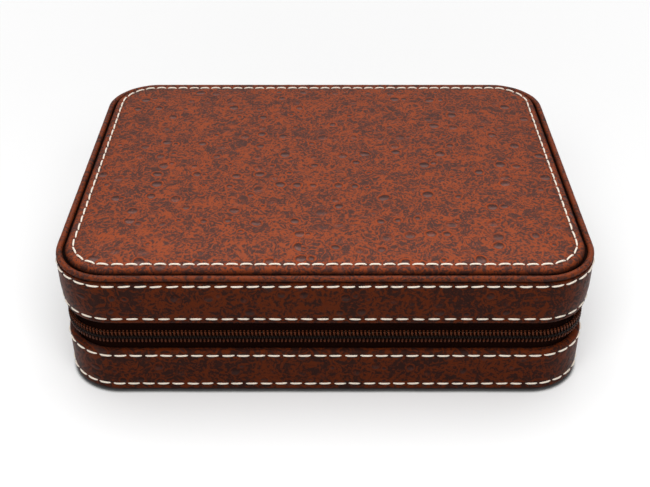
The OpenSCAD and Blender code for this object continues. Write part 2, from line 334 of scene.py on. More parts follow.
# %% The marbled hide, as a node group
def make_hide_group():
    """Marbled dye, quill marks with painted light, grain and painted shade, as colour, roughness,
    height.
    """
    group = bpy.data.node_groups.new("marbled_hide", "ShaderNodeTree")
    for name in ("Blotch", "Dark", "Quill", "Shade", "Upright", "Spacing"):
        group.interface.new_socket(name, in_out="INPUT", socket_type="NodeSocketFloat")
    for name, kind in (("Colour", "NodeSocketColor"), ("Roughness", "NodeSocketFloat"),
                       ("Height", "NodeSocketFloat")):
        group.interface.new_socket(name, in_out="OUTPUT", socket_type=kind)
    given = group.nodes.new("NodeGroupInput").outputs
    result = group.nodes.new("NodeGroupOutput").inputs
    place = object_place(group)
    swirl_size, swirl_reach = 9 * mm, 8 * mm
    swirl = add(group, "ShaderNodeTexNoise", {"Vector": place, "Scale": 1 / swirl_size, "Detail": 2.0})
    shift = calc_vector(group, "SUBTRACT", swirl.outputs["Color"], (0.5, 0.5, 0.5))
    shift = calc_vector(group, "SCALE", shift, swirl_reach)
    warped = calc_vector(group, "ADD", place, shift)
    scaled = calc_vector(group, "SCALE", warped, given["Blotch"])

    blotch = noise_at(group, scaled, 7 * mm, detail=2.0, rough=0.5)
    speck = noise_at(group, scaled, 1.0 * mm, detail=3.0, rough=0.62, distortion=0.25)
    grain = noise_at(group, place, 0.45 * mm, detail=2.0, rough=0.6)
    cells = add(group, "ShaderNodeTexVoronoi", {"Vector": scaled, "Scale": 1 / (3.2 * mm)},
                feature="DISTANCE_TO_EDGE").outputs["Distance"]
    vein = soft_step(group, cells, 0.0, 0.16, 1.0, 0.0)

    # Quill marks are laid out on a plane: seen from above, or unrolled up a wall when upright is 1.
    axes = add(group, "ShaderNodeSeparateXYZ", {0: place}).outputs
    level = calc(group, "SUBTRACT", 1.0, given["Upright"])
    u = add_up(group, (axes[0], 1.0), (axes[1], given["Upright"]))
    v = add_up(group, (axes[1], level), (axes[2], given["Upright"]))
    flat_place = add(group, "ShaderNodeCombineXYZ", {0: u, 1: v}).outputs[0]
    flat_place = calc_vector(group, "ADD", flat_place, calc_vector(group, "SCALE", shift, 0.3))
    per_metre = calc(group, "DIVIDE", 1.0, given["Spacing"])
    quill = add(group, "ShaderNodeTexVoronoi", {"Vector": flat_place, "Scale": per_metre,
                "Randomness": 1.0}, feature="F1", voronoi_dimensions="2D")
    chance = add(group, "ShaderNodeSeparateColor", {0: quill.outputs["Color"]}).outputs
    radius = soft_step(group, chance[0], 0.0, 1.0, 0.13, 0.30)
    there = calc(group, "MULTIPLY", soft_step(group, chance[1], 0.2, 0.8, 0.1, 1.0), given["Quill"])
    from_edge = calc(group, "SUBTRACT", quill.outputs["Distance"], radius)
    dome = calc(group, "MULTIPLY", soft_step(group, from_edge, -0.12, 0.02, 1.0, 0.0), there)
    ring = soft_step(group, calc(group, "ABSOLUTE", from_edge), 0.02, 0.08, 1.0, 0.0)
    rim = calc(group, "MULTIPLY", calc(group, "MULTIPLY", ring, there),
               soft_step(group, speck, 0.38, 0.58, 0.25, 1.0))

    # The dark dye covers wherever the mixed noises pass a limit, and the veins stay bare.
    halo = calc(group, "MULTIPLY", soft_step(group, from_edge, 0.0, 0.16, 0.05, 0.0), there)
    mixed = add_up(group, (blotch, 0.24), (speck, 0.56), (grain, 0.20), (halo, 1.0), (vein, -0.06))
    limit = calc(group, "SUBTRACT", 1.0, given["Dark"])
    dark = soft_step(group, calc(group, "SUBTRACT", mixed, limit), -0.045, 0.05)

    under = blend_colours(group, speck, (0.215, 0.037, 0.009), (0.40, 0.078, 0.021))
    over = blend_colours(group, grain, (0.035, 0.013, 0.010), (0.125, 0.045, 0.032))
    dyed = blend_colours(group, dark, under, over)
    # Painted light on each quill mark: its far or upper side is painted dark as shade, and its near or
    # lower side pale as a highlight.
    from_centre = calc_vector(group, "SUBTRACT", flat_place, quill.outputs["Position"])
    behind = add(group, "ShaderNodeSeparateXYZ", {0: from_centre}).outputs["Y"]
    painted_quill_shade = soft_step(group, behind, -0.9 * mm, 0.8 * mm)
    quill_painted_light_colour = blend_colours(group, painted_quill_shade, (0.20, 0.105, 0.090), (0.035, 0.014, 0.013))
    dyed = blend_colours(group, calc(group, "MULTIPLY", dome, 0.62), dyed, quill_painted_light_colour)
    dyed = blend_colours(group, calc(group, "MULTIPLY", rim, 0.85), dyed, (0.40, 0.066, 0.012))
    # The Shade input darkens the whole colour. Below 1 it is painted shade, for leather facing away from
    # the light.
    group.links.new(darken(group, dyed, given["Shade"]), result["Colour"])

    crease = noise_at(group, warped, 2.2 * mm, detail=5.0, rough=0.7)
    relief = add_up(group, (crease, 0.55), (grain, 0.12), (dome, 1.3), (rim, -0.25))
    group.links.new(relief, result["Height"])
    group.links.new(soft_step(group, speck, 0.3, 0.7, 0.34, 0.48), result["Roughness"])
    return group


hide_group = make_hide_group()
print("hide group:", len(hide_group.nodes), "nodes")

# %% [markdown]
# The four leathers are one hide with other settings. The walls and the underside have their colour
# darkened by the shade setting, as painted shade, because they face the camera and not the light.
# Another setting darkens the leather towards the bottom, also as painted shade: down the top's roll
# into the groove beside the piping, and on the piping's lower half. It is cheaper than deepening the
# groove.

# %% Leather
def make_leather(name, blotch=1.0, dark=0.5, quill=1.0, shade=1.0, upright=1.0,
                 spacing=8.2 * mm, specular=0.3, relief=0.35 * mm, painted_shade=None):
    """The hide with its settings. The last is (low, high, factor at low, factor at high): painted shade
    darkens the colour between those heights, and the leather is rougher low down.
    """
    material, tree, shader = new_material(name, Specular_IOR_Level=specular)
    hide = add(tree, "ShaderNodeGroup", node_tree=hide_group)
    for socket, value in zip(hide.inputs, (blotch, dark, quill, shade, upright, spacing)):
        socket.default_value = value
    colour = hide.outputs["Colour"]
    roughness = hide.outputs["Roughness"]
    # Painted shade: darkens the colour towards the bottom, between the two heights, and makes the
    # leather rougher there.
    if painted_shade:
        height = add(tree, "ShaderNodeSeparateXYZ", {0: object_place(tree)}).outputs["Z"]
        colour = darken(tree, colour, soft_step(tree, height, *painted_shade))
        roughness = calc(tree, "ADD", roughness, soft_step(tree, height, *painted_shade[:2], 0.5, 0.0))
    tree.links.new(roughness, shader.inputs["Roughness"])
    dress(tree, shader, colour, hide.outputs["Height"], relief)
    return material


# Painted shade on the top: darker down its roll into the groove beside the piping.
top_leather = make_leather("padded_leather", dark=0.53, upright=0.0, specular=0.13,
                           painted_shade=(53.6 * mm, 56.9 * mm, 0.05, 1.0))
# Painted shade: the walls and the underside get a shade below 1, which darkens their colour because they
# face away from the light.
wall_look = {"blotch": 0.7, "dark": 0.53, "quill": 0.75, "shade": 0.37, "spacing": 6.8 * mm,
             "specular": 0.04, "relief": 0.15 * mm}
band_leather = make_leather("band_leather", **wall_look)
flat_leather = make_leather("underside_leather", upright=0.0, **wall_look)
# Painted shade on the piping: darker overall and darkest on its lower half, which faces away from the
# light.
piping_leather = make_leather("piping_leather", dark=0.51, quill=0.0, specular=0.15,
                              relief=0.12 * mm, painted_shade=(52.6 * mm, 55.2 * mm, 0.16, 0.65))
print("leathers:", top_leather.name, band_leather.name, flat_leather.name, piping_leather.name)

# %% [markdown]
# The other finishes are waxed cream thread, brown nylon loops on a black-brown tape, dull aged brass,
# tan suede, fibreboard and foam. Each one mixes two colours of its material by a noise of the size
# of its fibres, nap or pores, and the same noise gives the relief. Scanned swatches would look as
# good from one distance, but noise stays sharp from near.

# %% Thread, zip and metal
def make_thread():
    """Waxed cream thread."""
    material, tree, shader = new_material("cream_thread", Roughness=0.6, Sheen_Weight=0.4)
    fibre = noise_at(tree, object_place(tree), 0.5 * mm, detail=3.0)
    colour = blend_colours(tree, fibre, (0.84, 0.70, 0.54), (1.0, 0.93, 0.83))
    dress(tree, shader, colour, fibre, 0.12 * mm)
    return material


def make_nylon():
    """Brown nylon wire, darkened to nearly black as painted shade where the two sides hook together."""
    material, tree, shader = new_material("zip_nylon", Roughness=0.32, Specular_IOR_Level=0.08)
    place = object_place(tree)
    patch = noise_at(tree, place, 1.2 * mm, detail=3.0)
    height = add(tree, "ShaderNodeSeparateXYZ", {0: place}).outputs["Z"]
    from_middle = calc(tree, "ABSOLUTE", calc(tree, "SUBTRACT", height, zip_z))
    # Painted shade: the wire's colour goes nearly black near the middle line, where the loops of the two
    # sides overlap.
    leg = soft_step(tree, from_middle, 0.5 * mm, 1.5 * mm)
    brown = blend_colours(tree, patch, (0.050, 0.012, 0.005), (0.17, 0.045, 0.017))
    colour = blend_colours(tree, leg, (0.006, 0.002, 0.001), brown)
    dress(tree, shader, colour, patch, 0.04 * mm)
    return material


def make_tape():
    """Dark woven tape."""
    material, tree, shader = new_material("zip_tape_cloth", Roughness=0.85, Specular_IOR_Level=0.04)
    place = object_place(tree)
    weave = add(tree, "ShaderNodeTexWave", {"Vector": place, "Scale": 1 / (1.1 * mm), "Distortion": 0.6},
                bands_direction="Z").outputs["Fac"]
    patch = noise_at(tree, place, 0.8 * mm, detail=3.0)
    height = add_up(tree, (weave, 1.0), (patch, 0.6))
    colour = blend_colours(tree, calc(tree, "MULTIPLY", height, 0.6), (0.004, 0.001, 0.001),
                           (0.021, 0.006, 0.003))
    dress(tree, shader, colour, height, 0.1 * mm)
    return material


def make_metal():
    """Cast brass that has gone dull and dark in patches."""
    material, tree, shader = new_material("antique_brass", Metallic=1.0)
    patch = noise_at(tree, object_place(tree), 3 * mm, detail=5.0, rough=0.65)
    colour = blend_colours(tree, patch, (0.045, 0.034, 0.024), (0.24, 0.175, 0.105))
    tree.links.new(soft_step(tree, patch, 0.3, 0.7, 0.5, 0.3), shader.inputs["Roughness"])
    dress(tree, shader, colour, patch, 0.03 * mm)
    return material


def make_suede():
    """Suede, with a fine nap and wide brushed patches."""
    material, tree, shader = new_material("tan_suede", Roughness=0.95, Sheen_Weight=0.4,
                                          Sheen_Roughness=0.4)
    place = object_place(tree)
    nap = noise_at(tree, place, 0.35 * mm, detail=4.0, rough=0.7)
    brushed = noise_at(tree, place, 14 * mm, detail=2.0, rough=0.5, distortion=0.4)
    shade = soft_step(tree, add_up(tree, (nap, 0.45), (brushed, 0.55)), 0.35, 0.65)
    colour = blend_colours(tree, shade, (0.47, 0.36, 0.24), (0.62, 0.49, 0.35))
    dress(tree, shader, colour, nap, 0.15 * mm)
    return material


def make_fibreboard():
    """Pressed board with long fibres."""
    material, tree, shader = new_material("fibreboard", Roughness=0.85)
    fibre = noise_at(tree, object_place(tree), 0.7 * mm, detail=5.0, rough=0.7, distortion=1.5)
    colour = blend_colours(tree, fibre, (0.20, 0.15, 0.10), (0.42, 0.35, 0.26))
    dress(tree, shader, colour, fibre, 0.1 * mm)
    return material


def make_foam():
    """Open foam with round pores."""
    material, tree, shader = new_material("foam", Roughness=0.9)
    cells = add(tree, "ShaderNodeTexVoronoi", {"Vector": object_place(tree), "Scale": 1 / (0.9 * mm)})
    pores = cells.outputs["Distance"]
    colour = blend_colours(tree, pores, (0.45, 0.40, 0.30), (0.78, 0.72, 0.60))
    dress(tree, shader, colour, pores, 0.25 * mm)
    return material


suede = make_suede()
fibreboard = make_fibreboard()
foam = make_foam()
thread = make_thread()
nylon = make_nylon()
tape_cloth = make_tape()
metal = make_metal()
print("materials:", len(bpy.data.materials))

# %% [markdown]
# ## The two wall bands
# Each half's wall is a strip of leather over a board. The leather is turned in at the zip, so the
# rim is a roll, and it sinks a little along each row of stitches. Sculpting could do that, but it
# can't be resized. A swept profile gives the rolls, and moving its points afterwards gives the
# sunken rows and the unevenness of a hand-covered board.

# %% How leather gives
skin = 0.9 * mm  # Points deeper than this are leather that is turned in.


def waver(point, size, seed):
    """Smooth unevenness from -1 to 1 with features of that size."""
    return noise.noise(point / size + Vector((seed, 0, 0)))


def sink(distance, across, pitch, width=0.9 * mm):
    """How far leather sinks near a row of stitches: most at the holes between them."""
    hole = 0.5 - 0.5 * math.cos(2 * math.pi * distance / pitch)
    return math.exp(-(across / width) ** 2) * (0.10 + 0.16 * hole ** 3) * mm


def settle_wall(bm, rows, seed):
    """Moves a band's outer points in at its rows of stitches, and makes them uneven."""
    for vert in bm.verts:
        distance, depth, facing = unroll(vert.co)
        if depth > skin:
            continue
        inward = sum(sink(distance - start, vert.co.z - height, pitch)
                     for height, pitch, start, _ in rows)
        out = 0.10 * mm * waver(vert.co, 16 * mm, seed) + 0.035 * mm * waver(vert.co, 3 * mm, seed + 9)
        vert.co += outward(facing) * (out - inward)


print("a stitch hole sinks by", round(sink(2.9 * mm, 0, 5.8 * mm) / mm, 2), "mm")

# %% [markdown]
# Rows of stitches run at fixed heights, measured from the rims, so they move along with them. Their
# pitch is rounded so that a whole number of stitches goes round the case.

# %% Rows of stitches on the walls
def row_of(height, pitch, depth=0.15 * mm, start=0.0):
    """A row as (height, exact pitch, start, depth)."""
    length = outline_length(depth)
    return height, length / round(length / pitch), start, depth


lid_upper_row = row_of(lid_shoulder - 1.1 * mm, 5.75 * mm, depth=-0.4 * mm)
lid_lower_row = row_of(lid_rim + 2.6 * mm, 5.8 * mm, start=2.2 * mm)
base_upper_row = row_of(base_rim - 1.8 * mm, 5.75 * mm, start=1.1 * mm)
base_lower_row = row_of(4.2 * mm, 5.6 * mm, start=2.9 * mm)
print("pitches:", [round(row[1] / mm, 2) for row in (lid_upper_row, lid_lower_row, base_upper_row)])

# %% Lid band
roll_r = 1.3 * mm
wall_swell = 0.55 * mm


def bulge(z, low, high, most):
    """How far a wall swells outwards at a height: nothing at its low end, most from halfway up."""
    share = min(max((z - low) / (high - low) * 2, 0), 1)
    return most * share * share * (3 - 2 * share)


lid_profile = [(bulge(lid_shoulder, lid_rim, lid_shoulder, wall_swell), lid_shoulder)]
lid_profile += [(bulge(z, lid_rim, lid_shoulder, wall_swell), z)
                for z in rise(lid_shoulder, lid_rim + roll_r, 26)]
lid_profile += arc((-roll_r, lid_rim + roll_r), roll_r, 0, -90, 6)[1:]
lid_profile += arc((-wall_t + roll_r / 2, lid_rim + roll_r / 2), roll_r / 2, -90, -180, 3)
lid_profile += [(-wall_t, lid_rim + leather_t), (-leather_t, lid_rim + 1.2 * leather_t),
                (-leather_t, lid_shoulder)]
band = bmesh.new()
sweep(band, lid_profile)
settle_wall(band, (lid_upper_row, lid_lower_row), seed=3)
lid_band = make_piece(band, "lid_band", "lid", band_leather)
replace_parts(lid_band, "lid_side_leather")

# %% Base band
foot = base_low.z
turn_in = 9 * mm
foot_r = 1.6 * mm
base_profile = [(-turn_in, foot), (-5 * mm, foot), (-foot_r, foot)]
base_profile += arc((-foot_r, foot + foot_r), foot_r, -90, 0, 6)[1:]
base_profile += [(0.0, z) for z in rise(foot + foot_r, base_rim - roll_r, 22)]
base_profile += arc((-roll_r, base_rim - roll_r), roll_r, 0, 90, 6)[1:]
base_profile += arc((-wall_t + roll_r / 2, base_rim - roll_r / 2), roll_r / 2, 90, 180, 3)
base_profile += [(-wall_t, base_rim - leather_t), (-leather_t, base_rim - 1.2 * leather_t),
                 (-leather_t, foot + leather_t), (-turn_in, foot + leather_t)]
band = bmesh.new()
sweep(band, base_profile)
settle_wall(band, (base_upper_row, base_lower_row), seed=21)
base_band = make_piece(band, "base_band", "base", band_leather)
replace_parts(base_band, "base_side_leather")

# %% [markdown]
# ## Piping
# Piping is a cord wrapped in thin leather and sewn in between the top and the wall. A curve with a
# round bevel would be quicker, but piping is never quite even, so the round profile is swept as a
# mesh and pushed about a little afterwards.

# %% Piping
piping_low, piping_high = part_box("lid_piping_cover")
piping_r = 0.84 * (piping_high.z - piping_low.z) / 2
piping_centre = (piping_high.y - half_d - 1.3 * piping_r, (piping_high.z + piping_low.z) / 2)
band = bmesh.new()
sweep(band, arc(piping_centre, piping_r, 0, 360, 16)[:-1])
for vert in band.verts:
    _, depth, facing = unroll(vert.co)
    middle = vert.co + outward(facing) * (depth + piping_centre[0])
    middle.z = piping_centre[1]
    push = 0.05 * waver(vert.co, 5 * mm, 5) + 0.025 * waver(vert.co, 1.6 * mm, 7)
    vert.co += (vert.co - middle) * push
piping = make_piece(band, "piping", "lid", piping_leather)
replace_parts(piping, "lid_piping_cover")

# %% [markdown]
# ## The padded top
# The top is one skin over foam: crowned in the middle, pulled down along its stitching, and rolled
# over at the edge. A grid gives an even mesh to dent and crease. Its square corners are mapped to
# round ones, and then its border is extruded outwards, ring by ring, down over the edge.

# %% Top panel
_, panel_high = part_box("lid_top_leather")
panel_edge = half_d - panel_high.y + 0.7 * mm
border_z = piping_high.z + 0.9 * mm
crown_z = panel_high.z
top_row_depth = 6.2 * mm
top_row = row_of(border_z, 5.15 * mm, top_row_depth)
grid_depth = top_row_depth + 1.6 * mm
crown_reach = 22 * mm
crease_at, crease_width = 3.5 * mm, 3 * mm


def round_corners(point, depth):
    """Maps a point of the full rectangle to the rectangle with round corners."""
    radius = corner_r - depth
    over_x, over_y = abs(point.x) - straight[0], abs(point.y) - straight[1]
    if over_x > 0 and over_y > 0:
        a, b = over_x / radius, over_y / radius
        x = straight[0] + radius * a * math.sqrt(1 - b * b / 2)
        y = straight[1] + radius * b * math.sqrt(1 - a * a / 2)
        point.x, point.y = math.copysign(x, point.x), math.copysign(y, point.y)


def top_height(point):
    """How high the leather lies at a point of the top."""
    distance, depth, _ = unroll(point, top_row_depth)
    inner = min(max((depth - top_row_depth) / crown_reach, 0), 1)
    height = border_z + (crown_z - border_z + 0.3 * mm) * inner * (2 - inner)
    height -= 1.3 * sink(distance, depth - top_row_depth, top_row[1], 1.1 * mm)
    spread = min(max((depth - top_row_depth) / (6 * mm), 0), 1)
    height += spread * (0.10 * mm * waver(point, 22 * mm, 1) + 0.05 * mm * waver(point, 7 * mm, 2))
    creased = math.exp(-((depth - top_row_depth - crease_at) / crease_width) ** 2)
    return height + (0.02 + 0.05 * creased) * mm * waver(point, 2.4 * mm, 4)


panel = bmesh.new()
grid_w, grid_d = half_w - grid_depth, half_d - grid_depth
bmesh.ops.create_grid(panel, size=1, x_segments=round(2 * grid_w / mm),
                      y_segments=round(2 * grid_d / mm))
for vert in panel.verts:
    vert.co = Vector((vert.co.x * grid_w, vert.co.y * grid_d, 0))
    round_corners(vert.co, grid_depth)
border_drop = [(depth * mm, 0.0) for depth in (7.3, 6.9, 6.55, 6.2, 5.85, 5.5)]
edge_r = 2.5 * mm
border_drop += [(panel_edge + edge_r + out, drop - edge_r)
                for out, drop in arc((0, 0), edge_r, 90, 180, 8)]
border_drop += [(panel_edge, -3.2 * mm), (1.3 * mm, -3.4 * mm)]
ring = [edge for edge in panel.edges if edge.is_boundary]
for depth, drop in border_drop:
    grown = bmesh.ops.extrude_edge_only(panel, edges=ring)["geom"]
    ring = [item for item in grown if isinstance(item, bmesh.types.BMEdge)]
    for vert in {vert for edge in ring for vert in edge.verts}:
        _, now, facing = unroll(vert.co)
        vert.co += outward(facing) * (now - depth)
        vert.co.z = drop
    ring = [edge for edge in ring if edge.is_boundary]
for vert in panel.verts:
    vert.co.z += top_height(Vector((vert.co.x, vert.co.y, 0)))
bmesh.ops.recalc_face_normals(panel, faces=panel.faces)
if sum(face.normal.z for face in panel.faces) < 0:
    bmesh.ops.reverse_faces(panel, faces=panel.faces)
lid_top = make_piece(panel, "lid_top", "lid", top_leather)
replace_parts(lid_top, "lid_top_leather")

# %% [markdown]
# ## Stitching
# Each stitch is a short length of thread that comes up through one hole, lies on the leather and
# goes down the next. A dashed line in the leather's material would be flat in a close view. So one
# stitch is made by carrying a small circle along a bow, and then it is set down at every step of
# the row, turned to face outwards and never twice quite alike.

# %% One stitch
def tube(bm, path, radii, corners=7):
    """Carries a circle along a path, with its own radius at each point, and closes both ends."""
    circle = bmesh.ops.create_circle(bm, cap_ends=True, radius=1, segments=corners)["verts"]
    face = circle[0].link_faces[0]
    around = [vert.co.copy() for vert in face.verts]
    for k, (centre, radius) in enumerate(zip(path, radii)):
        if k:
            face = bmesh.ops.extrude_discrete_faces(bm, faces=[face])["faces"][0]
        heading = path[min(k + 1, len(path) - 1)] - path[max(k - 1, 0)]
        turn = heading.to_track_quat("Z", "Y")
        for vert, corner in zip(face.verts, around):
            vert.co = centre + turn @ (corner * radius)
    bmesh.ops.holes_fill(bm, edges=[edge for edge in bm.edges if edge.is_boundary])


def make_stitch(length, thickness):
    """A bowed bit of thread along X, standing off in +Z, with both ends diving."""
    stitch = bmesh.new()
    spots = (-1, -0.86, -0.6, -0.25, 0.15, 0.55, 0.84, 1)
    path = [Vector((t * length / 2, 0.07 * thickness * t, thickness * (0.3 - 0.85 * t ** 4)))
            for t in spots]
    tube(stitch, path, [thickness / 2 * (1 - 0.5 * t ** 6) for t in spots])
    return keep_shape(stitch, "stitch_shape")


def set_down(bm, shape, place):
    """Adds a copy of a shape to a bmesh, at a place."""
    shape.transform(place)
    bm.from_mesh(shape)
    shape.transform(place.inverted())


thread_t = 0.72 * mm
stitch_share = 0.86


def sew(name, body, row, flat, node, lean=0.0, seed=1):
    """Sets a row of stitches down, on the flat top or on a wall."""
    chance = random.Random(seed)
    height, pitch, start, depth = row
    shape = make_stitch(pitch * stitch_share, thread_t)
    stand = Matrix() if flat else Matrix.Rotation(quarter, 4, "X")
    thread_row = bmesh.new()
    for k in range(round(outline_length(depth) / pitch)):
        point, facing = on_outline(depth, (k + 0.5) * pitch + start + chance.uniform(-0.12, 0.12) * mm)
        point.z = height + chance.uniform(-0.06, 0.06) * mm
        tilt = Matrix.Rotation(math.radians(lean + chance.uniform(-2.5, 2.5)), 4, "Z")
        turn = Matrix.Rotation(facing + quarter, 4, "Z")
        set_down(thread_row, shape, Matrix.Translation(point) @ turn @ stand @ tilt)
    piece = make_piece(thread_row, name, body, thread, sharp=80)
    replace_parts(piece, node)


print("stitches in the top row:", round(outline_length(top_row_depth) / top_row[1]))

# %% Sew the five rows
sew("stitches_top", "lid", top_row, True, "stitching_lid_top", seed=11)
sew("stitches_lid_upper", "lid", lid_upper_row, False, "stitching_lid_piping", lean=1.5, seed=12)
sew("stitches_lid_lower", "lid", lid_lower_row, False, "stitching_lid_rim", lean=-1.5, seed=13)
sew("stitches_base_upper", "base", base_upper_row, False, "stitching_base_rim", lean=-1, seed=14)
sew("stitches_base_lower", "base", base_lower_row, False, "stitching_base_foot", lean=-1, seed=15)

# %% [markdown]
# ## The coil zip
# A coil zip is one nylon wire wound into loops on each side. The loops of the two sides sit half a
# pitch apart and hook past each other on the middle line. Each loop is a bent tube: a flat leg in
# front, a head that reaches over the middle, and a leg behind. Stitches hold the legs on the tapes.
# One spiral along the whole outline would twist at the corners, so the loops are set down one by
# one, as the stitches are.

# %% Coil loops. The zip stops zip_end short of the middle of the back
_, coil_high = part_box("zip_coil_lower")
coil_depth = half_d - coil_high.y
tooth_pitch = 1.44 * mm
tooth_reach = 2.75
zip_end = 66 * mm
half_run = outline_length(coil_depth) / 2 - zip_end


def make_tooth(reach, lean):
    """One loop in mm, from its legs' ends at -reach to its head past 0. +X points outwards."""
    tooth = bmesh.new()
    spots = ((-reach, -0.5, lean), (-0.78 * reach, -0.15, 0.8 * lean),
             (-0.4 * reach, -0.05, 0.35 * lean), (-0.12 * reach, 0.02, 0),
             (0.22, -0.1, 0), (0.42, -0.55, 0), (0.3, -1.05, 0), (-0.4 * reach, -1.3, 0))
    path = [Vector((out * mm, along * mm, up * mm)) for up, out, along in spots]
    tube(tooth, path, [r * mm for r in (0.36, 0.38, 0.38, 0.42, 0.44, 0.42, 0.38, 0.34)], corners=6)
    return keep_shape(tooth, "tooth_shape")


def wind(name, body, upper, node):
    """Sets the loops of one side of the zip."""
    shape = make_tooth(tooth_reach, 0.3 if upper else -0.12)
    flip = Matrix.Rotation(math.pi, 4, "X") if upper else Matrix()
    coil = bmesh.new()
    for k in range(round(2 * half_run / tooth_pitch)):
        distance = -half_run + (k + (0.5 if upper else 0.0)) * tooth_pitch
        point, facing = on_outline(coil_depth, distance)
        point.z = zip_z
        set_down(coil, shape, Matrix.Translation(point) @ Matrix.Rotation(facing, 4, "Z") @ flip)
    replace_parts(make_piece(coil, name, body, nylon), node)


wind("coil_lower", "base", False, "zip_coil_lower")
wind("coil_upper", "lid", True, "zip_coil_upper")

# %% Stitches over the legs of the loops
binding_heights = (1.5 * mm, 2.6 * mm)
binding_r = 0.14 * mm


def bind(name, body, upper):
    """A thread that goes over every leg and down between them, which holds a coil on its tape."""
    side, start_angle = (1, math.pi) if upper else (-1, 0)
    lines = bmesh.new()
    steps = round(2 * half_run / tooth_pitch) * 4
    for level in binding_heights:
        path = []
        for k in range(steps + 1):
            point, facing = on_outline(coil_depth, -half_run + k * tooth_pitch / 4)
            wave = math.cos(quarter * k + start_angle)
            point.z = zip_z + side * level
            path.append(point + outward(facing) * (-0.12 + 0.3 * wave) * mm)
        tube(lines, path, [binding_r] * len(path), corners=5)
    bmesh.ops.recalc_face_normals(lines, faces=lines.faces)
    make_piece(lines, name, body, tape_cloth)


bind("coil_thread_lower", "base", False)
bind("coil_thread_upper", "lid", True)

# %% [markdown]
# ## Small hard parts and the flat pieces of the tray
# Sliders, pulls and stops are cast metal. A mould gives no sharp edge. A bevel tears at the small
# holes, so a fine even mesh is wrapped round a copy of each one and relaxed a little. The suede
# frame and its dividers are wrapped boards, where a bevel on the edges is enough. Each piece starts
# as a copy of the frame's own node, so its size and place stay right.

# %% Cast parts from an even mesh
def copy_node(node):
    """A joined-up copy of a node's mesh, as a bmesh."""
    copy = bmesh.new()
    copy.from_mesh(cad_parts[node].data)
    bmesh.ops.remove_doubles(copy, verts=copy.verts, dist=0.001 * mm)
    return copy


def even_mesh(bm, name, voxel):
    """An object whose mesh wraps the shape in small squares of one size."""
    work = new_object(name + "_work", as_mesh(bm, name))
    remesh = work.modifiers.new("even", "REMESH")
    remesh.mode = "VOXEL"
    remesh.voxel_size = voxel
    bpy.context.view_layer.update()
    graph = bpy.context.evaluated_depsgraph_get()
    even = bpy.data.meshes.new_from_object(work.evaluated_get(graph))
    work.modifiers.clear()
    work.data = even
    return work


def relax(bm, rounds):
    """Moves each vertex towards its neighbours, which rounds the edges."""
    for _ in range(rounds):
        bmesh.ops.smooth_vert(bm, verts=bm.verts, factor=0.5,
                              use_axis_x=True, use_axis_y=True, use_axis_z=True)


def cast(node, body, voxel=0.14 * mm, rounds=3):
    """A metal part with the rounded edges of a casting."""
    work = even_mesh(copy_node(node), "cast_" + node, voxel)
    shaped = bmesh.new()
    shaped.from_mesh(work.data)
    bpy.data.objects.remove(work)
    relax(shaped, rounds)
    bmesh.ops.recalc_face_normals(shaped, faces=shaped.faces)
    piece = make_piece(shaped, "cast_" + node, body, metal)
    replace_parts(piece, node)


for name in ("slider_front", "slider_rear", "pull_front", "pull_rear"):
    cast(name, name)
cast("zip_stops_lower", "base", voxel=0.1 * mm)
cast("zip_stops_upper", "lid", voxel=0.1 * mm)


# %% Round the edges of a flat piece
def soften(node, body, material, width, segments=2):
    """A copy of a node with its sharp edges rounded."""
    copy = copy_node(node)
    bmesh.ops.dissolve_limit(copy, angle_limit=math.radians(0.5), verts=copy.verts, edges=copy.edges)
    sharp = [edge for edge in copy.edges
             if edge.is_manifold and edge.calc_face_angle() > math.radians(35)]
    bmesh.ops.bevel(copy, geom=sharp, offset=width, offset_type="OFFSET", segments=segments,
                    profile=0.5, affect="EDGES", clamp_overlap=True, material=-1)
    # Where two roundings meet halfway up a thin piece, they leave pairs of points to join.
    bmesh.ops.remove_doubles(copy, verts=copy.verts, dist=0.001 * mm)
    piece = make_piece(copy, "soft_" + node, body, material, sharp=15)
    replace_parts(piece, node)


soften("base_bottom_leather", "base", flat_leather, 0.35 * mm)
soften("lid_top_foam", "lid", foam, 1.3 * mm)
for name in ("tray_frame", "divider_long", "divider_cross"):
    soften(name, "base", suede, 0.6 * mm, segments=3)

# %% [markdown]
# ## The hinge
# At the back a strip of the same leather joins the two rims, with a suede strip inside it. Both are
# glued to the walls and free between them, where they crease. A stiff strip would leave the lid as
# it opens. Each point is creased by how high it lies between the rims.

# %% Hinge strips
def hinge_strip(node, material, crease):
    """A thin upright sheet with creases in its free part."""
    low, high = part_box(node)
    strip = bmesh.new()
    bmesh.ops.create_grid(strip, x_segments=64, y_segments=44, size=1)
    for vert in strip.verts:
        x = vert.co.x * high.x
        z = (low.z + high.z) / 2 + vert.co.y * (high.z - low.z) / 2
        free = max(1 - ((z - zip_z) / (lid_rim - zip_z)) ** 2, 0)
        ripple = waver(Vector((x / 7, 0, z)), 1.9 * mm, 31) * crease * free
        vert.co = Vector((x, high.y - crease * 0.5 * free + ripple * 0.5, z))
    bmesh.ops.recalc_face_normals(strip, faces=strip.faces)
    if sum(face.normal.y for face in strip.faces) > 0:
        bmesh.ops.reverse_faces(strip, faces=strip.faces)
    bmesh.ops.solidify(strip, geom=strip.faces[:], thickness=high.y - low.y)
    bmesh.ops.recalc_face_normals(strip, faces=strip.faces)
    piece = make_piece(strip, "bending_" + node, None, material)
    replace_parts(piece, node)
    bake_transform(piece)


hinge_strip("hinge_gusset", band_leather, 0.5 * mm)
hinge_strip("hinge_lining", suede, 0.3 * mm)

# %% [markdown]
# ## Cushions
# The watch pillows and the pad under the lid are suede over foam. Rounded blocks would look hard.
# Blown up a little by a cloth simulation, they get the crowned, slightly uneven shape that stuffing
# gives. The limit on how far a point moves keeps each cushion inside its bay. Seams are pressed in
# afterwards, because the remesh before the simulation would lose them.

# %% Blow up a cushion
pressure = 4
blow_frames = 20


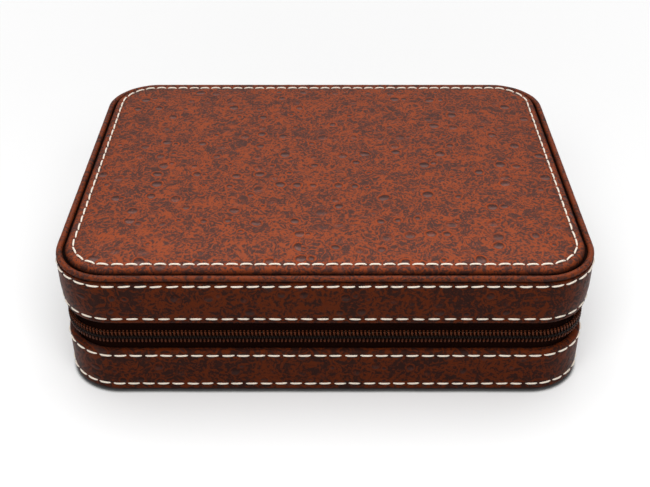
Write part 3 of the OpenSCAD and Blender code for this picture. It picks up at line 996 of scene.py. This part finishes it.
def inflate(name, node, shrink, cap, voxel, seam=None):
    """A cushion from a node's shape, made a bit smaller and then blown up by at most cap."""
    copy = copy_node(node)
    low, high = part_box(node)
    centre, size = (low + high) / 2, high - low
    for vert in copy.verts:
        vert.co = Vector((vert.co[n] - centre[n]) * (1 - 2 * shrink / size[n]) for n in range(3))
    work = even_mesh(copy, name, voxel)
    even = work.data
    start = [vert.co.copy() for vert in even.vertices]
    cloth = work.modifiers.new("blow_up", "CLOTH")
    cloth.settings.quality = 6
    cloth.settings.use_pressure = True
    cloth.settings.uniform_pressure_force = pressure
    cloth.settings.effector_weights.gravity = 0
    for step in range(1, blow_frames + 1):
        bpy.context.scene.frame_set(step)
    blown = work.evaluated_get(bpy.context.evaluated_depsgraph_get()).to_mesh()
    moved = 0
    for vert, was, now in zip(even.vertices, start, blown.vertices):
        move = now.co - was
        moved = max(moved, move.length)
        vert.co = was + move * min(cap / max(move.length, 1e-9), 1)
    bpy.context.scene.frame_set(1)
    print(f"{name}: furthest move {moved / mm:.1f} mm, capped at {cap / mm:.1f}")
    shaped = bmesh.new()
    shaped.from_mesh(even)
    bpy.data.objects.remove(work)
    bmesh.ops.subdivide_edges(shaped, edges=shaped.edges[:], cuts=1, use_grid_fill=True, smooth=1)
    relax(shaped, 3)
    if seam:
        for vert in shaped.verts:
            seam(vert, size)
    bmesh.ops.recalc_face_normals(shaped, faces=shaped.faces)
    return shaped, centre


def press_end_seams(vert, size):
    """Pulls the suede in where a pillow's body is sewn to its two ends, and wrinkles it nearby."""
    from_end = size.y / 2 - 3.2 * mm - abs(vert.co.y)
    out = Vector((vert.co.x, 0, vert.co.z))
    pull = 0.9 * mm * math.exp(-(from_end / (0.9 * mm)) ** 2)
    around = math.atan2(vert.co.z / size.z, vert.co.x / size.x)
    pucker = 0.3 * mm * math.exp(-abs(from_end) / (5 * mm)) * math.cos(around * 30)
    if out.length > 4 * mm:
        vert.co -= out.normalized() * (pull + pucker)


def press_border_seam(vert, size):
    """Sews the pad down along a line near its edge."""
    inside = min(size.x / 2 - abs(vert.co.x), size.y / 2 - abs(vert.co.y)) - 7 * mm
    if vert.co.z < 0:
        vert.co.z += 0.9 * mm * math.exp(-(inside / (1.1 * mm)) ** 2)


# %% Four watch pillows
pillow, _ = inflate("pillow", "pillow_core_front_left", shrink=1.2 * mm, cap=1.6 * mm,
                    voxel=2.4 * mm, seam=press_end_seams)
pillow_shape = keep_shape(pillow, "pillow_shape")
for number, place in enumerate(("front_left", "front_right", "rear_left", "rear_right")):
    low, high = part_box("pillow_core_" + place)
    cushion = bmesh.new()
    turn = Matrix.Rotation(math.pi * (number % 2), 4, "Z")
    set_down(cushion, pillow_shape, Matrix.Translation((low + high) / 2) @ turn)
    piece = make_piece(cushion, "pillow_" + place, "pillow_" + place, suede)
    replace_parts(piece, "pillow_core_" + place, "pillow_cover_" + place)

# %% Lid pad
pad, centre = inflate("lid_pad", "lid_pad", shrink=0.5 * mm, cap=0.6 * mm, voxel=2.0 * mm,
                      seam=press_border_seam)
for vert in pad.verts:
    vert.co += centre
piece = make_piece(pad, "soft_lid_pad", "lid", suede)
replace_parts(piece, "lid_pad")

# %% [markdown]
# ## What is left as it is
# The boards, the lining, the zip's tapes and the piping's cord are plain shapes that are nearly
# hidden. A remade piece would look the same, so they keep their shape and only get a finish, picked
# by a word in their name.

# %% Finishes of the nodes that are shown as they are
finishes = (("tape", tape_cloth), ("board", fibreboard), ("foam", foam), ("cord", foam),
            ("lining", suede))
for name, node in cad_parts.items():
    if node.hide_render:
        continue
    finish = next(material for word, material in finishes if word in name)
    print("as it is:", name, finish.name)
    node.data.materials.clear()
    node.data.materials.append(finish)

# %% [markdown]
# ## Floor and light
# The case stands on white paper, lit from above and slightly behind. A tent of lamps could be built
# round it, but a wide soft sun, one weak lamp in front and a plain pale sky give the same soft
# shadow. The paper is darkened in the last few millimetres under the foot, where a soft sun alone
# gives too faint a contact shadow, and it glows a little far away, so that it runs into the sky
# without a horizon.

# %% Floor
floor_mesh = bmesh.new()
bmesh.ops.create_grid(floor_mesh, x_segments=1, y_segments=1, size=3)
floor = new_object("floor", as_mesh(floor_mesh, "floor"))
paper, paper_tree, paper_shader = new_material("white_paper", Roughness=0.9)
rays = add(paper_tree, "ShaderNodeLightPath")
contact_reach, contact_dark = 2.8 * mm, 0.12
seen = calc(paper_tree, "MAXIMUM", rays.outputs["Is Camera Ray"], rays.outputs["Is Glossy Ray"])
paper_colour = blend_colours(paper_tree, seen, (0.35, 0.35, 0.35), (0.97, 0.97, 0.97))
open_sky = add(paper_tree, "ShaderNodeAmbientOcclusion", {"Distance": contact_reach}).outputs["AO"]
contact = soft_step(paper_tree, open_sky, 0.45, 0.78, contact_dark, 1.0)
paper_colour = darken(paper_tree, paper_colour, contact)
paper_tree.links.new(paper_colour, paper_shader.inputs["Base Color"])
far = add(paper_tree, "ShaderNodeVectorMath", {0: object_place(paper_tree)},
          operation="LENGTH").outputs["Value"]
glow = calc(paper_tree, "ADD", soft_step(paper_tree, far, 0.12, 0.45, 0.0, 0.12),
            soft_step(paper_tree, far, 0.6, 2.5, 0.0, 0.18))
paper_glow = calc(paper_tree, "MULTIPLY", rays.outputs["Is Camera Ray"], glow)
paper_tree.links.new(paper_glow, paper_shader.inputs["Emission Strength"])
paper_shader.inputs["Emission Color"].default_value = (1, 1, 1, 1)
paper_shader.inputs["Specular IOR Level"].default_value = 0.0
floor.data.materials.append(paper)
print("floor:", [round(side, 2) for side in floor.dimensions])

# %% Light
world = bpy.data.worlds.new("sky")
bpy.context.scene.world = world
world.use_nodes = True
sky = world.node_tree
sky_rays = add(sky, "ShaderNodeLightPath")
sky_seen = calc(sky, "MAXIMUM", sky_rays.outputs["Is Camera Ray"],
                sky_rays.outputs["Is Transmission Ray"])
sky_strength = soft_step(sky, sky_seen, 0.0, 1.0, 0.25, 1.0)
sky.links.new(sky_strength, sky.nodes["Background"].inputs["Strength"])
sky.nodes["Background"].inputs["Color"].default_value = (1, 1, 1, 1)


def add_light(name, kind, energy, place, towards=(0, 0, 0.03), **settings):
    """A light at a place, aimed at a point."""
    lamp = new_object(name, bpy.data.lights.new(name, kind))
    lamp.data.energy = energy
    for key, value in settings.items():
        setattr(lamp.data, key, value)
    lamp.location = place
    lamp.rotation_euler = (Vector(towards) - Vector(place)).to_track_quat("-Z", "Y").to_euler()
    return lamp


sun_strength, fill_watts = 1.61, 2.75
sun = add_light("soft_sun", "SUN", sun_strength, (0, 0.35, 1), angle=math.radians(70))
fill = add_light("front_fill", "AREA", fill_watts, (0, -0.42, 0.5), shape="RECTANGLE", size=0.7,
                 size_y=0.35)
fill.visible_glossy = False
print("lights:", sun.name, fill.name)
